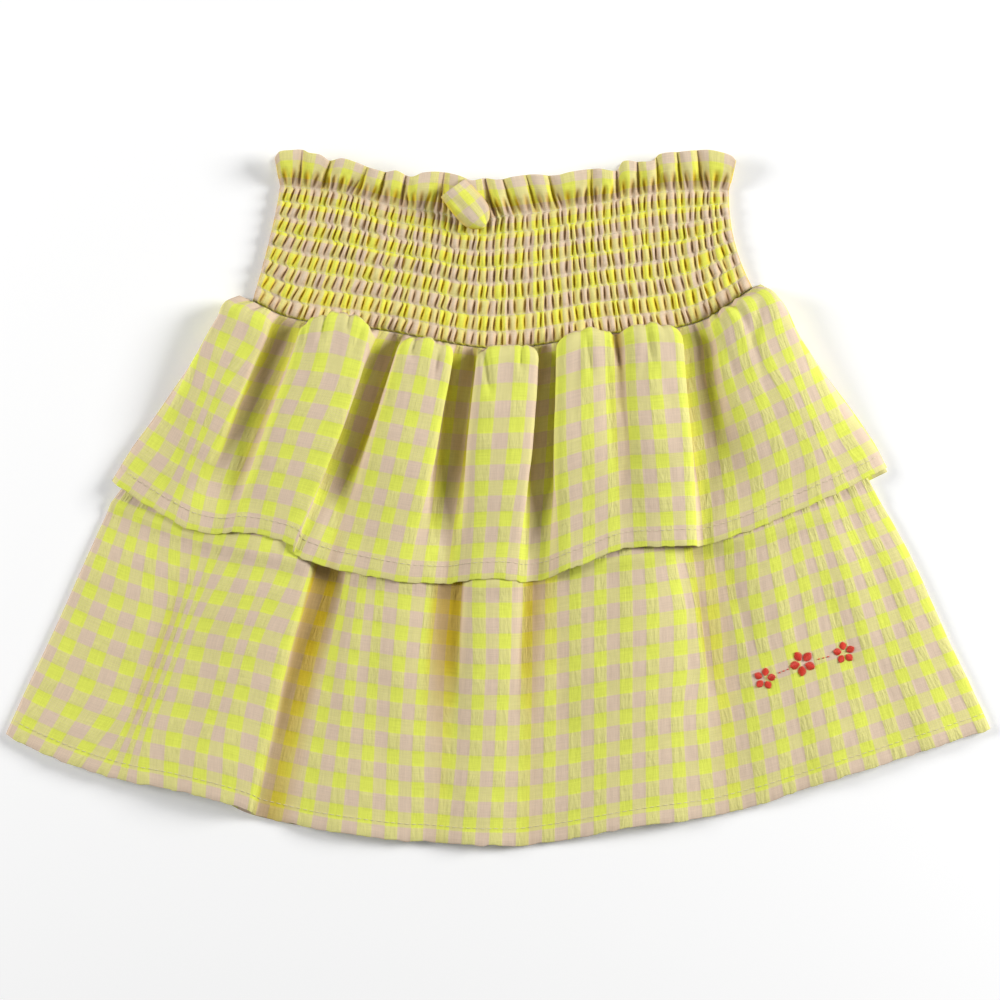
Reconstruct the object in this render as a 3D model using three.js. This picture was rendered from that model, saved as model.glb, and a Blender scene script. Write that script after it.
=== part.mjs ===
// A child's tiered ruffle skirt, laid flat with its front upwards. All lengths are in millimetres.
// X runs across the skirt, Y from the hems towards the waist, and Z up from the surface it lies on.
// Every piece is a wall of cloth: a grid of points on its inner face, and the same sheet moved outwards.

import * as THREE from 'three';

// Driving dimensions
const clothWall = 1.1;
const waistWall = 2.5;
const frillWall = 1.6;
const seamGap = 0.3;
const layer = clothWall + seamGap;
const upperLength = 110;
const upperSwell = 13;
const gatherPuff = 0.45;
const gatherLength = 12;
const elasticRows = 9;
const shirringPuff = 1.5;
const heldPuffShare = 0.35;
const gatherWidth = 4.9;
const frillCrest = 5.2;
const frillRoundness = 0.7;
const frillFullAt = 0.6;
const backFrillCrest = 2.4;

// The side edges: how far a front tier stands up there before it goes across, and how far its
// inner face lies in from the outline
const upperSideTurn = 7;
const lowerSideTurn = 3;
const sideInset = 0.75;

// Where the lower tier's back has passed the upper tier's hem and comes down to the surface
const hemMargin = 3;
const hemSlope = 6;

// How level the cloth runs on each side of a fold, as shares of the fold's half width
const reachShares = { least: 0.3, most: 0.5, mostPerSlope: 0.6, gentleSlope: 0.15, crest: 1.2, hollow: 0.8 };

// Looks of the plain solids
const litGingham = { color: 0xdcdf7c, roughness: 0.92, metalness: 0 };
const shadedGingham = { color: 0xd2cf7c, roughness: 0.92, metalness: 0 };

// The seam that all the panels share, from the left side of the skirt to its right
const seamCurve = [
  { x: -121, y: 96.5 },
  { x: -99, y: 86.5 },
  { x: -55, y: 80.5 },
  { x: 0, y: 71.8 },
  { x: 50, y: 78.5 },
  { x: 95, y: 84 },
  { x: 125, y: 102.5 },
];

// The lower corners of the waist, which lie a little in from the ends of that seam
const waistSides = { left: -117.1, right: 122.4, leftCurl: 1.25, rightCurl: 2.2 };

// The top elastic row, where the frill starts, and the frill's upper rim
const frillFootCurve = [
  { x: -104, y: 150 },
  { x: -75, y: 147 },
  { x: -45, y: 139.5 },
  { x: 0, y: 135.5 },
  { x: 45, y: 141 },
  { x: 80, y: 147 },
  { x: 111, y: 147.5 },
];
const frillRimCurve = [
  { x: -106, y: 162.5 },
  { x: -104, y: 165 },
  { x: -98, y: 165.8 },
  { x: -92.6, y: 166 },
  { x: -89.8, y: 164.6 },
  { x: -84, y: 163.5 },
  { x: -80, y: 161 },
  { x: -74, y: 161.9 },
  { x: -66.7, y: 159.8 },
  { x: -60, y: 157.2 },
  { x: -53, y: 155.5 },
  { x: -48, y: 156 },
  { x: -41, y: 153.2 },
  { x: -35, y: 155.1 },
  { x: -26, y: 155.4 },
  { x: -18, y: 153.6 },
  { x: -12, y: 151.4 },
  { x: -6, y: 152.5 },
  { x: 0, y: 151.7 },
  { x: 8, y: 153.1 },
  { x: 16, y: 154.2 },
  { x: 28, y: 153.8 },
  { x: 36, y: 155.6 },
  { x: 48, y: 157 },
  { x: 57, y: 156.2 },
  { x: 60, y: 160.4 },
  { x: 68, y: 160.3 },
  { x: 74, y: 160.8 },
  { x: 77.5, y: 163.9 },
  { x: 88, y: 165.1 },
  { x: 100, y: 166 },
  { x: 108, y: 164.5 },
  { x: 112, y: 163 },
  { x: 114, y: 161 },
];

// Hollows of the frill, from the rim down to the foot, and the depth of each
const frillHollows = [
  { rimX: -106, footX: -104, depth: 3 },
  { rimX: -93, footX: -94.5, depth: 2.5 },
  { rimX: -79.5, footX: -84.5, depth: 5 },
  { rimX: -61.9, footX: -66.2, depth: 3.5 },
  { rimX: -53.3, footX: -57, depth: 5 },
  { rimX: -43.7, footX: -46.1, depth: 5 },
  { rimX: -25.4, footX: -27.8, depth: 3.5 },
  { rimX: -5.5, footX: -1.4, depth: 5 },
  { rimX: 3, footX: 8, depth: 4 },
  { rimX: 14, footX: 19, depth: 3.5 },
  { rimX: 24.5, footX: 28.5, depth: 4.5 },
  { rimX: 45, footX: 45, depth: 3 },
  { rimX: 57, footX: 57.6, depth: 5 },
  { rimX: 67, footX: 68, depth: 4 },
  { rimX: 76, footX: 77.5, depth: 3.5 },
  { rimX: 86, footX: 88, depth: 3.5 },
  { rimX: 95.5, footX: 98, depth: 4 },
  { rimX: 114, footX: 111, depth: 3 },
];

// The pleat of the frill that has fallen forward over the top of the shirring
const fallenPleat = { x: -12, halfWidth: 16, drop: 6, lift: 3.5 };

// Lines down the upper tier, along the crests of its folds and the hollows between them.
// rise is the height of its inner face below the seam, hemRise that at the hem, and cloth the
// width of the cloth from one line to the next.
const upperFrontLines = [
  { seamX: -121, hemX: -183.8, hemY: 8.2, rise: 1.4, hemRise: 1.4, cloth: 22 },
  { seamX: -113, hemX: -161.8, hemY: -6, rise: 10, hemRise: 6.5, cloth: 26 },
  { seamX: -99, hemX: -141, hemY: -15.6, rise: 5, hemRise: 6.5, cloth: 40 },
  { seamX: -72, hemX: -106, hemY: -18.5, rise: 17, hemRise: 14.5, cloth: 36 },
  { seamX: -49.5, hemX: -92.5, hemY: -28.3, rise: 4.6, hemRise: 9.5, cloth: 30 },
  { seamX: -32, hemX: -60, hemY: -36.5, rise: 15, hemRise: 9, cloth: 32 },
  { seamX: -15.5, hemX: -28.8, hemY: -40.3, rise: 4.6, hemRise: 6.5, cloth: 31 },
  { seamX: 6, hemX: -4, hemY: -37.9, rise: 16.5, hemRise: 9, cloth: 34 },
  { seamX: 25.5, hemX: 18.7, hemY: -38.9, rise: 4.6, hemRise: 5, cloth: 33 },
  { seamX: 41, hemX: 42.2, hemY: -30.2, rise: 16.5, hemRise: 9.5, cloth: 20 },
  { seamX: 56, hemX: 60, hemY: -23.5, rise: 12.5, hemRise: 10, cloth: 24 },
  { seamX: 72.5, hemX: 82, hemY: -22.1, rise: 16, hemRise: 12, cloth: 32 },
  { seamX: 91, hemX: 103.2, hemY: -20.6, rise: 5, hemRise: 6, cloth: 46 },
  { seamX: 113, hemX: 145.4, hemY: -4.3, rise: 11, hemRise: 6.5, cloth: 44 },
  { seamX: 125, hemX: 187.2, hemY: 14.9, rise: 1.4, hemRise: 1.4, cloth: 0 },
];

// Lines down the lower tier. midRise is how far its inner face stands above the cloth behind it
// where it comes out from under the upper tier, and hemRise how far at the hem.
const lowerFrontLines = [
  { seamX: -113, hemX: -235.7, hemY: -112.8, midRise: 0, hemRise: 0, cloth: 58 },
  { seamX: -105, hemX: -190.6, hemY: -131, midRise: 0.6, hemRise: 1, cloth: 60 },
  { seamX: -71, hemX: -135.4, hemY: -143.5, midRise: 7, hemRise: 5, cloth: 26 },
  { seamX: -60, hemX: -113, hemY: -152.6, midRise: 0.4, hemRise: 0.6, cloth: 54 },
  { seamX: -47, hemX: -61, hemY: -161.3, midRise: 2.6, hemRise: 3, cloth: 34 },
  { seamX: -14, hemX: -28.8, hemY: -164, midRise: 0.6, hemRise: 1, cloth: 24 },
  { seamX: 2, hemX: -8.2, hemY: -165.4, midRise: 3, hemRise: 3, cloth: 28 },
  { seamX: 20, hemX: 17, hemY: -165, midRise: 0.4, hemRise: 0.6, cloth: 58 },
  { seamX: 67, hemX: 70, hemY: -156, midRise: 5.5, hemRise: 4, cloth: 42 },
  { seamX: 82, hemX: 109.4, hemY: -150.2, midRise: 0.4, hemRise: 0.6, cloth: 62 },
  { seamX: 110, hemX: 169.4, hemY: -131.5, midRise: 2.5, hemRise: 2.2, cloth: 68 },
  { seamX: 117, hemX: 236.4, hemY: -110, midRise: 0, hemRise: 0, cloth: 0 },
];

// How far each side edge bulges out from a straight line, at depths from the seam to the hem
const upperBulges = [
  { depth: 0, left: 0, right: 0 },
  { depth: 0.04, left: 5, right: 1.8 },
  { depth: 0.12, left: 3.8, right: 3.3 },
  { depth: 0.25, left: 3.8, right: 1.4 },
  { depth: 0.4, left: 2.9, right: 1.4 },
  { depth: 0.6, left: 2.1, right: 2.5 },
  { depth: 0.85, left: 1.8, right: 2.4 },
  { depth: 1, left: 0, right: 0 },
];
const lowerBulges = [
  { depth: 0, left: 0, right: 0 },
  { depth: 0.2, left: 3, right: 5 },
  { depth: 0.35, left: 6, right: 9 },
  { depth: 0.4, left: 10, right: 9.9 },
  { depth: 0.432, left: 15.6, right: 10 },
  { depth: 0.5, left: 14.3, right: 9.7 },
  { depth: 0.6, left: 11.4, right: 9 },
  { depth: 0.7, left: 8.2, right: 6.5 },
  { depth: 0.8, left: 5.4, right: 4 },
  { depth: 0.89, left: 3.2, right: 2.4 },
  { depth: 1, left: 0, right: 0 },
];

// The hem of the upper tier's back, which shows below the front's at the right corner
const upperBackHem = [
  { x: -183, y: 9 },
  { x: -141, y: -13 },
  { x: -60, y: -33 },
  { x: 0, y: -37 },
  { x: 82, y: -21 },
  { x: 145, y: -7 },
  { x: 178, y: 7.2 },
  { x: 187, y: 13 },
];

const lerp = THREE.MathUtils.lerp;
const clamp = THREE.MathUtils.clamp;
const smooth = THREE.MathUtils.smoothstep;

// The value of one column of a table at x, by a smooth curve through its rows
function curveAt(rows, x, column = 'y', against = 'x') {
  const last = rows.length - 1;
  let i = 0;
  while (i < last - 1 && x > rows[i + 1][against]) i += 1;
  const slope = (k) => {
    const before = rows[Math.max(k - 1, 0)];
    const after = rows[Math.min(k + 1, last)];
    return (after[column] - before[column]) / (after[against] - before[against]);
  };
  const width = rows[i + 1][against] - rows[i][against];
  const s = clamp((x - rows[i][against]) / width, 0, 1);
  const s2 = s * s;
  const s3 = s2 * s;
  return (2 * s3 - 3 * s2 + 1) * rows[i][column] + (s3 - 2 * s2 + s) * width * slope(i)
    + (3 * s2 - 2 * s3) * rows[i + 1][column] + (s3 - s2) * width * slope(i + 1);
}

// A closed wall between two grids of points that share their columns. Their rows may differ in
// number: the side edges of the two grids are zipped together by how far down each row is.
function wallGeometry(outer, inner, outerDown = [...outer.keys()], innerDown = [...inner.keys()]) {
  const columns = outer[0].length;
  const faces = [];
  const outerAt = (r, c) => r * columns + c;
  const innerAt = (r, c) => (outer.length + r) * columns + c;
  const quad = (a, b, c, d) => faces.push(a, b, c, a, c, d);
  const endOuter = outer.length - 1;
  const endInner = inner.length - 1;
  for (let c = 0; c + 1 < columns; c += 1) {
    for (let r = 0; r < endOuter; r += 1) {
      quad(outerAt(r, c), outerAt(r + 1, c), outerAt(r + 1, c + 1), outerAt(r, c + 1));
    }
    for (let r = 0; r < endInner; r += 1) {
      quad(innerAt(r, c), innerAt(r, c + 1), innerAt(r + 1, c + 1), innerAt(r + 1, c));
    }
    quad(outerAt(0, c), outerAt(0, c + 1), innerAt(0, c + 1), innerAt(0, c));
    quad(outerAt(endOuter, c), innerAt(endInner, c), innerAt(endInner, c + 1), outerAt(endOuter, c + 1));
  }
  for (const c of [0, columns - 1]) {
    let i = 0;
    let j = 0;
    while (i < endOuter || j < endInner) {
      const outerNext = j === endInner || (i < endOuter && outerDown[i + 1] <= innerDown[j + 1]);
      const third = outerNext ? outerAt(i + 1, c) : innerAt(j + 1, c);
      const triangle = [outerAt(i, c), innerAt(j, c), third];
      faces.push(...(c === 0 ? triangle : triangle.reverse()));
      if (outerNext) i += 1;
      else j += 1;
    }
  }
  const points = [...outer.flat(), ...inner.flat()].flatMap((point) => point.toArray());
  const geometry = new THREE.BufferGeometry();
  geometry.setAttribute('position', new THREE.Float32BufferAttribute(points, 3));
  geometry.setIndex(faces);
  return geometry;
}

// The grid moved outwards along its own normals, so that a fold keeps the thickness of its cloth.
// Its first row goes straight up, and so stays on its seam.
function movedOut(grid, distance) {
  const lastRow = grid.length - 1;
  const lastColumn = grid[0].length - 1;
  const at = (r, c) => grid[clamp(r, 0, lastRow)][clamp(c, 0, lastColumn)];
  return grid.map((row, r) => row.map((point, c) => {
    const across = at(r, c + 1).clone().sub(at(r, c - 1));
    const down = at(r + 1, c).clone().sub(at(r - 1, c));
    const normal = r === 0 ? new THREE.Vector3(0, 0, 1) : down.cross(across).normalize();
    return point.clone().addScaledVector(normal, distance);
  }));
}

// One side of a fold, from line to line: a curve that leaves and arrives level
function foldSide(start, end, reach) {
  return new THREE.CubicBezierCurve3(
    start.point,
    start.point.clone().addScaledVector(start.along, reach.start),
    end.point.clone().addScaledVector(end.along, -reach.end),
    end.point,
  );
}

// How far the cloth runs level from its crest and from its hollow, so that this side of the fold
// takes up its cloth. A low fold can't hold much of it, and there the rest goes into finer gathers.
function reachFor(start, end, cloth) {
  const chord = Math.hypot(end.point.x - start.point.x, end.point.y - start.point.y);
  const rise = end.point.z - start.point.z;
  const { least, most, mostPerSlope, gentleSlope, crest, hollow } = reachShares;
  const reachAt = (level) => ({
    start: start.turn ?? level * chord * (rise < 0 ? crest : hollow),
    end: end.turn ?? level * chord * (rise < 0 ? hollow : crest),
  });
  let low = least;
  let high = most + mostPerSlope * clamp(Math.abs(rise) / chord - gentleSlope, 0, 1);
  for (let halving = 0; halving < 12; halving += 1) {
    const middle = (low + high) / 2;
    if (foldSide(start, end, reachAt(middle)).getLength() < cloth) low = middle;
    else high = middle;
  }
  return reachAt(low);
}

// Where the lines of a tier are in one row, and the direction that runs across the cloth there.
// turnAt gives how far the cloth stands up from a side edge before it goes across.
function linesAt(tier, row) {
  const { lines, depthAt, heightAt, bulges, turnAt } = tier;
  const last = lines.length - 1;
  const points = lines.map((line, i) => {
    const depth = depthAt(line, row);
    const side = (2 * i) / last - 1;
    const bulge = side ** 3 * curveAt(bulges, depth, side < 0 ? 'left' : 'right', 'depth');
    const isSide = i === 0 || i === last;
    const turn = isSide && turnAt ? turnAt(depth) : undefined;
    const inset = turn > 0 ? side * sideInset : 0;
    const x = lerp(line.seamX, line.hemX, depth) + bulge - inset;
    const y = lerp(curveAt(seamCurve, line.seamX), line.hemY, depth);
    return { depth, turn, point: new THREE.Vector3(x, y, heightAt(line, depth, isSide)) };
  });
  return points.map(({ depth, turn, point }, i) => {
    const before = points[Math.max(i - 1, 0)].point;
    const after = points[Math.min(i + 1, last)].point;
    const along = new THREE.Vector3(after.x - before.x, after.y - before.y, 0).normalize();
    if (turn > 0) along.multiplyScalar(0.1).setZ(i === 0 ? 1 : -1).normalize();
    return { depth, turn, point, along };
  });
}

// A tier's inner face as a grid
function tierGrid(tier) {
  const { lines, rows, stepsPerSide } = tier;
  const depths = [];
  const grid = Array.from({ length: rows }, (_, r) => {
    const at = linesAt(tier, r);
    const row = [at[0].point];
    depths.push([at[0].depth]);
    for (let i = 0; i + 1 < at.length; i += 1) {
      const curve = foldSide(at[i], at[i + 1], reachFor(at[i], at[i + 1], lines[i].cloth));
      for (let k = 1; k <= stepsPerSide; k += 1) {
        row.push(curve.getPoint(k / stepsPerSide));
        depths[r].push(lerp(at[i].depth, at[i + 1].depth, k / stepsPerSide));
      }
    }
    return row;
  });
  const offSeam = grid[0].map((point) => curveAt(seamCurve, point.x) - point.y);
  grid.forEach((row, r) => row.forEach((point, c) => {
    point.y += offSeam[c] * (1 - depths[r][c]);
  }));
  return grid;
}

// A fold swells out of the seam along a quarter of an ellipse
function swell(depth, length) {
  const s = clamp((depth * length) / upperSwell, 0, 1);
  return Math.sqrt(1 - (1 - s) ** 2);
}

// Small gathers at the head of a tier, on every second column, that die out below the seam
function addGathers(grid, depths, length) {
  grid.forEach((row, r) => {
    const fade = clamp(1 - (depths[r] * length) / gatherLength, 0, 1);
    for (let c = 1; c < row.length - 1; c += 2) row[c].z += gatherPuff * fade;
  });
}

function upperFrontHeight(line, depth, isSide) {
  const seamHeight = isSide ? layer : waistWall + seamGap + layer;
  const swollen = lerp(line.rise, line.hemRise, smooth(depth, 0.15, 1));
  return lerp(seamHeight, swollen, swell(depth, upperLength));
}

function upperTierFront() {
  const depths = [0, 0.02, 0.05, 0.11, 0.22, 0.4, 0.6, 0.8, 1];
  const inner = tierGrid({
    lines: upperFrontLines,
    rows: depths.length,
    stepsPerSide: 6,
    depthAt: (line, row) => depths[row],
    heightAt: upperFrontHeight,
    bulges: upperBulges,
    turnAt: () => upperSideTurn,
  });
  addGathers(inner, depths, upperLength);
  return wallGeometry(movedOut(inner, clothWall), inner);
}

function upperTierBack() {
  const depths = [0, 0.04, 0.12, 0.3, 0.6, 0.85, 1];
  const lower = tierGrid({
    lines: upperFrontLines.map((line) => ({ ...line, hemY: curveAt(upperBackHem, line.hemX) })),
    rows: depths.length,
    stepsPerSide: 3,
    depthAt: (line, row) => depths[row],
    heightAt: () => 0,
    bulges: upperBulges,
  });
  return wallGeometry(movedUp(lower, clothWall), lower);
}

function movedUp(grid, distance) {
  return grid.map((row) => row.map((point) => new THREE.Vector3(point.x, point.y, point.z + distance)));
}

// The depth at which a line of the lower tier has passed the upper tier's back by some distance
function depthPastHem(line, distance) {
  let low = 0;
  let high = 1;
  for (let halving = 0; halving < 20; halving += 1) {
    const middle = (low + high) / 2;
    const x = lerp(line.seamX, line.hemX, middle);
    const y = lerp(curveAt(seamCurve, line.seamX), line.hemY, middle);
    if (curveAt(upperBackHem, x) - y < distance) low = middle;
    else high = middle;
  }
  return low;
}

// Rows of the lower tier: some down to the upper tier's hem, one where the cloth has come down
// over that hem, and the rest from there to its own hem
const hiddenShares = [0, 0.5, 0.85, 1];
const shownShares = [0, 0.16, 0.4, 0.7, 1];
function lowerDepthAt(line, row) {
  const covered = depthPastHem(line, hemMargin);
  if (row < hiddenShares.length) return covered * hiddenShares[row];
  const landed = depthPastHem(line, hemMargin + hemSlope);
  return lerp(landed, 1, shownShares[row - hiddenShares.length]);
}

// Height of the upper side of the backs, which lie on each other down to the upper tier's hem
function backHeight(line, depth) {
  const covered = depthPastHem(line, hemMargin);
  const landed = depthPastHem(line, hemMargin + hemSlope);
  return lerp(clothWall + layer, clothWall, clamp((depth - covered) / (landed - covered), 0, 1));
}

function lowerFrontHeight(line, depth) {
  const towardsHem = lerp(line.midRise, line.hemRise, smooth(depth, 0.5, 1));
  return backHeight(line, depth) + seamGap + towardsHem * smooth(depth, 0.3, 0.47);
}

const lowerTier = {
  lines: lowerFrontLines,
  rows: hiddenShares.length + shownShares.length,
  depthAt: lowerDepthAt,
  bulges: lowerBulges,
};

function lowerTierFront() {
  const turnAt = (depth) => lowerSideTurn * smooth(depth, 0.42, 0.6);
  const inner = tierGrid({ ...lowerTier, stepsPerSide: 6, heightAt: lowerFrontHeight, turnAt });
  return wallGeometry(movedOut(inner, clothWall), inner);
}

function lowerTierBack() {
  const heightAt = (line, depth) => backHeight(line, depth) - clothWall;
  const lower = tierGrid({ ...lowerTier, stepsPerSide: 4, heightAt });
  return wallGeometry(movedUp(lower, clothWall), lower);
}

// Columns of the waist: an even number for each wave of the frill, so that every hollow of the
// frill runs down into a hollow of the shirring
function waistColumns() {
  const columns = [];
  const last = frillHollows.length - 1;
  for (let i = 0; i < last; i += 1) {
    const from = frillHollows[i];
    const to = frillHollows[i + 1];
    const steps = 2 * Math.max(1, Math.round((to.footX - from.footX) / gatherWidth));
    for (let k = i === 0 ? 0 : 1; k <= steps; k += 1) {
      const share = k / steps;
      const sunk = lerp(from.depth, to.depth, share) * (1 - Math.sin(Math.PI * share) ** frillRoundness);
      columns.push({
        footX: lerp(from.footX, to.footX, share),
        rimX: lerp(from.rimX, to.rimX, share),
        wave: frillCrest - sunk,
      });
    }
  }
  return columns.map((column, c) => ({ ...column, across: c / (columns.length - 1) }));
}

// How far the frill has fallen forward at x, from 0 to 1
function fallenAt(x) {
  const share = clamp(Math.abs(x - fallenPleat.x) / fallenPleat.halfWidth, 0, 1);
  return 1 - smooth(share, 0.45, 1);
}

// A point of the waist from above, from the seam (0) through the frill's foot (1) to its rim (2)
function waistPoint(column, share) {
  const footY = curveAt(frillFootCurve, column.footX) - fallenPleat.drop * fallenAt(column.footX);
  if (share <= 1) {
    const seamX = lerp(waistSides.left, waistSides.right, column.across);
    const curl = lerp(waistSides.leftCurl, waistSides.rightCurl, column.across);
    const x = lerp(column.footX, seamX, (1 - share) ** curl);
    return new THREE.Vector3(x, lerp(curveAt(seamCurve, seamX) + seamGap, footY, share), 0);
  }
  const x = lerp(column.footX, column.rimX, share - 1);
  return new THREE.Vector3(x, lerp(footY, curveAt(frillRimCurve, column.rimX), share - 1), 0);
}

// How full the frill's waves are: nearly flat where they are stitched, full above
const fullness = (share) => smooth(share - 1, -0.05, frillFullAt);

// How far a gather stands out between two elastic rows, a little different at each place
function gatherAt(share, c) {
  const place = share * (elasticRows - 1);
  const row = Math.floor(place);
  const between = Math.sin(Math.PI * (place - row)) ** 2;
  const uneven = 0.8 + 0.2 * Math.sin(2.3 * c + 1.7 * row);
  return (c % 2) * shirringPuff * uneven * lerp(heldPuffShare, 1, between);
}

// The waist's grids run down from the rim (0) past the foot of the frill (1) to the seam (2)
const frillRows = [0, 0.3, 0.6, 0.85, 1];
const bandRows = [1.33, 1.67, 2];
const plainRows = [...frillRows, ...bandRows];
const rowsBetweenFootAndSeam = 2 * (elasticRows - 1);
const shirringRows = Array.from({ length: rowsBetweenFootAndSeam }, (_, r) => 1 + (r + 1) / rowsBetweenFootAndSeam);

function waistGrid(columns, rows, heightAt) {
  return rows.map((down) => columns.map((column, c) => {
    const share = 2 - down;
    return waistPoint(column, share).setZ(heightAt(column, share, c));
  }));
}

const backFrillHeight = (column, share) => (backFrillCrest / frillCrest) * column.wave * fullness(share);

function frontFrillHeight(column, share) {
  const wave = backFrillHeight(column, share) + column.wave * fullness(share);
  const lifted = share > 1 ? fallenPleat.lift * fallenAt(column.footX) * (1.5 - share / 2) : 0;
  return waistWall + seamGap + wave + lifted;
}

function waistFront() {
  const columns = waistColumns();
  const bandHeight = (column, share, c) => frontFrillHeight(column, share) + waistWall + gatherAt(share, c);
  const frill = movedOut(waistGrid(columns, frillRows, frontFrillHeight), frillWall);
  const band = waistGrid(columns, [1, ...shirringRows], bandHeight);
  const inner = waistGrid(columns, plainRows, frontFrillHeight);
  return wallGeometry([...frill.slice(0, -1), ...band], inner, [...frillRows, ...shirringRows], plainRows);
}

function waistBack() {
  const lower = waistGrid(waistColumns(), plainRows, backFrillHeight);
  return wallGeometry(movedUp(lower, waistWall), lower);
}

const group = new THREE.Group();
function add(name, geometry, look) {
  const mesh = new THREE.Mesh(geometry, new THREE.MeshStandardMaterial(look));
  mesh.name = name;
  group.add(mesh);
}
add('upper_tier_back', upperTierBack(), shadedGingham);
add('lower_tier_back', lowerTierBack(), shadedGingham);
add('lower_tier_front', lowerTierFront(), litGingham);
add('upper_tier_front', upperTierFront(), litGingham);
add('waist_back', waistBack(), shadedGingham);
add('waist_front', waistFront(), litGingham);

export default group;
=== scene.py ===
import math
import bmesh
import bpy
import numpy as np
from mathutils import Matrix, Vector
from mathutils.bvhtree import BVHTree


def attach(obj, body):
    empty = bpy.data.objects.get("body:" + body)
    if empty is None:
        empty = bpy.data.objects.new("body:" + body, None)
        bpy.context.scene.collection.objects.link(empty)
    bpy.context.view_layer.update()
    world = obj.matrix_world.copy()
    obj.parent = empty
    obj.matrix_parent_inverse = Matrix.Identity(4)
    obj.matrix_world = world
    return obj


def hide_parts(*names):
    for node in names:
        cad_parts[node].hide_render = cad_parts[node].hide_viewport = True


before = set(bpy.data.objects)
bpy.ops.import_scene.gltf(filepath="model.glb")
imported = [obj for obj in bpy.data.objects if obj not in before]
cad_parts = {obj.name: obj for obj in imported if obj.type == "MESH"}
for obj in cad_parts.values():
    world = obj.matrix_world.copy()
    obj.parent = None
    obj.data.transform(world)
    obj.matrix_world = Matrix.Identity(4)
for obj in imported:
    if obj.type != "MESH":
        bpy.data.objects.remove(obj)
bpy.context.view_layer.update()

# Sizes in millimetres. X runs across the skirt, Y towards the waist, Z up from the surface it lies on.
mm = 0.001
checkAcross = 12.5          # one repeat of the check: a yellow stripe and a beige one
checkDown = 14.8
threadPitch = 0.4
clothThickness = 0.36
solidWall = 1.1             # wall of the tiers' solids, whose outer face the cloth follows
layer = 1.4
waistTop = 2.8
upperLength = 110
lowerLength = 239
hemDepth = 8
hemRadius = 0.42            # of the turn at a tier's hem edge
turnAngles = (0.8, 1.6, 2.4, math.pi)       # the steps in which cloth goes round an edge

# Curves as x, y
seamCurve = np.array([(-121, 96.5), (-99, 86.5), (-55, 80.5), (0, 71.8), (50, 78.5), (95, 84), (125, 102.5)])
frillFootCurve = np.array([
    (-104, 150), (-75, 147), (-45, 139.5), (0, 135.5), (45, 141), (80, 147), (111, 147.5)])
frillRimCurve = np.array([
    (-106, 162.5), (-104, 165), (-98, 165.8), (-92.6, 166), (-89.8, 164.6), (-84, 163.5), (-80, 161),
    (-74, 161.9), (-66.7, 159.8), (-60, 157.2), (-53, 155.5), (-48, 156), (-41, 153.2), (-35, 155.1),
    (-26, 155.4), (-18, 153.6), (-12, 151.4), (-6, 152.5), (0, 151.7), (8, 153.1), (16, 154.2),
    (28, 153.8), (36, 155.6), (48, 157), (57, 156.2), (60, 160.4), (68, 160.3), (74, 160.8),
    (77.5, 163.9), (88, 165.1), (100, 166), (108, 164.5), (112, 163), (114, 161)])
upperBackHem = np.array([
    (-183, 9), (-141, -13), (-60, -33), (0, -37), (82, -21), (145, -7), (178, 7.2), (187, 13)])


def curveAt(rows, x, column=1):
    xs, ys = rows[:, 0], rows[:, column]
    slope = np.empty(len(xs))
    slope[1:-1] = (ys[2:] - ys[:-2]) / (xs[2:] - xs[:-2])
    slope[0] = (ys[1] - ys[0]) / (xs[1] - xs[0])
    slope[-1] = (ys[-1] - ys[-2]) / (xs[-1] - xs[-2])
    x = np.asarray(x, float)
    i = np.clip(np.searchsorted(xs, x, side="left") - 1, 0, len(xs) - 2)
    width = xs[i + 1] - xs[i]
    s = np.clip((x - xs[i]) / width, 0, 1)
    return ((2 * s**3 - 3 * s**2 + 1) * ys[i] + (s**3 - 2 * s**2 + s) * width * slope[i]
            + (3 * s**2 - 2 * s**3) * ys[i + 1] + (s**3 - s**2) * width * slope[i + 1])


def lerp(a, b, s):
    return a + (b - a) * s


def smooth(x, low, high):
    s = np.clip((np.asarray(x, float) - low) / (high - low), 0, 1)
    return s * s * (3 - 2 * s)


def scatter(i, j, seed):
    # the same number from 0 to 1 for the same i and j, unlike its neighbours
    n = np.sin(np.asarray(i, float) * 127.1 + np.asarray(j, float) * 311.7 + seed * 74.7) * 43758.5453
    return n - np.floor(n)


def waves(x, y, seed):
    # soft uneven relief, about -1 to 1, one rise or fall per unit of x and y
    x, y = np.broadcast_arrays(np.asarray(x, float), np.asarray(y, float))
    i, j = np.floor(x), np.floor(y)
    sx, sy = smooth(x - i, 0, 1), smooth(y - j, 0, 1)
    top = lerp(scatter(i, j, seed), scatter(i + 1, j, seed), sx)
    low = lerp(scatter(i, j + 1, seed), scatter(i + 1, j + 1, seed), sx)
    return 2 * lerp(top, low, sy) - 1


def outwards(grid):
    across = np.gradient(grid, axis=1)
    down = np.gradient(grid, axis=0)
    normal = np.cross(down, across)
    return normal / np.maximum(np.linalg.norm(normal, axis=2, keepdims=True), 1e-9)


# The folds of a tier: lines are its crests and hollows, starting with seamX, hemX and hemY, and cloth is the
# length of cloth from each line to the next. reach is how far the cloth keeps its direction past a line.
reach = {
    "least": 0.3, "most": 0.5, "perSlope": 1.3, "gentle": 0.15, "crest": 1.2, "hollow": 0.8, "overhang": 1.35,
}


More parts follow.
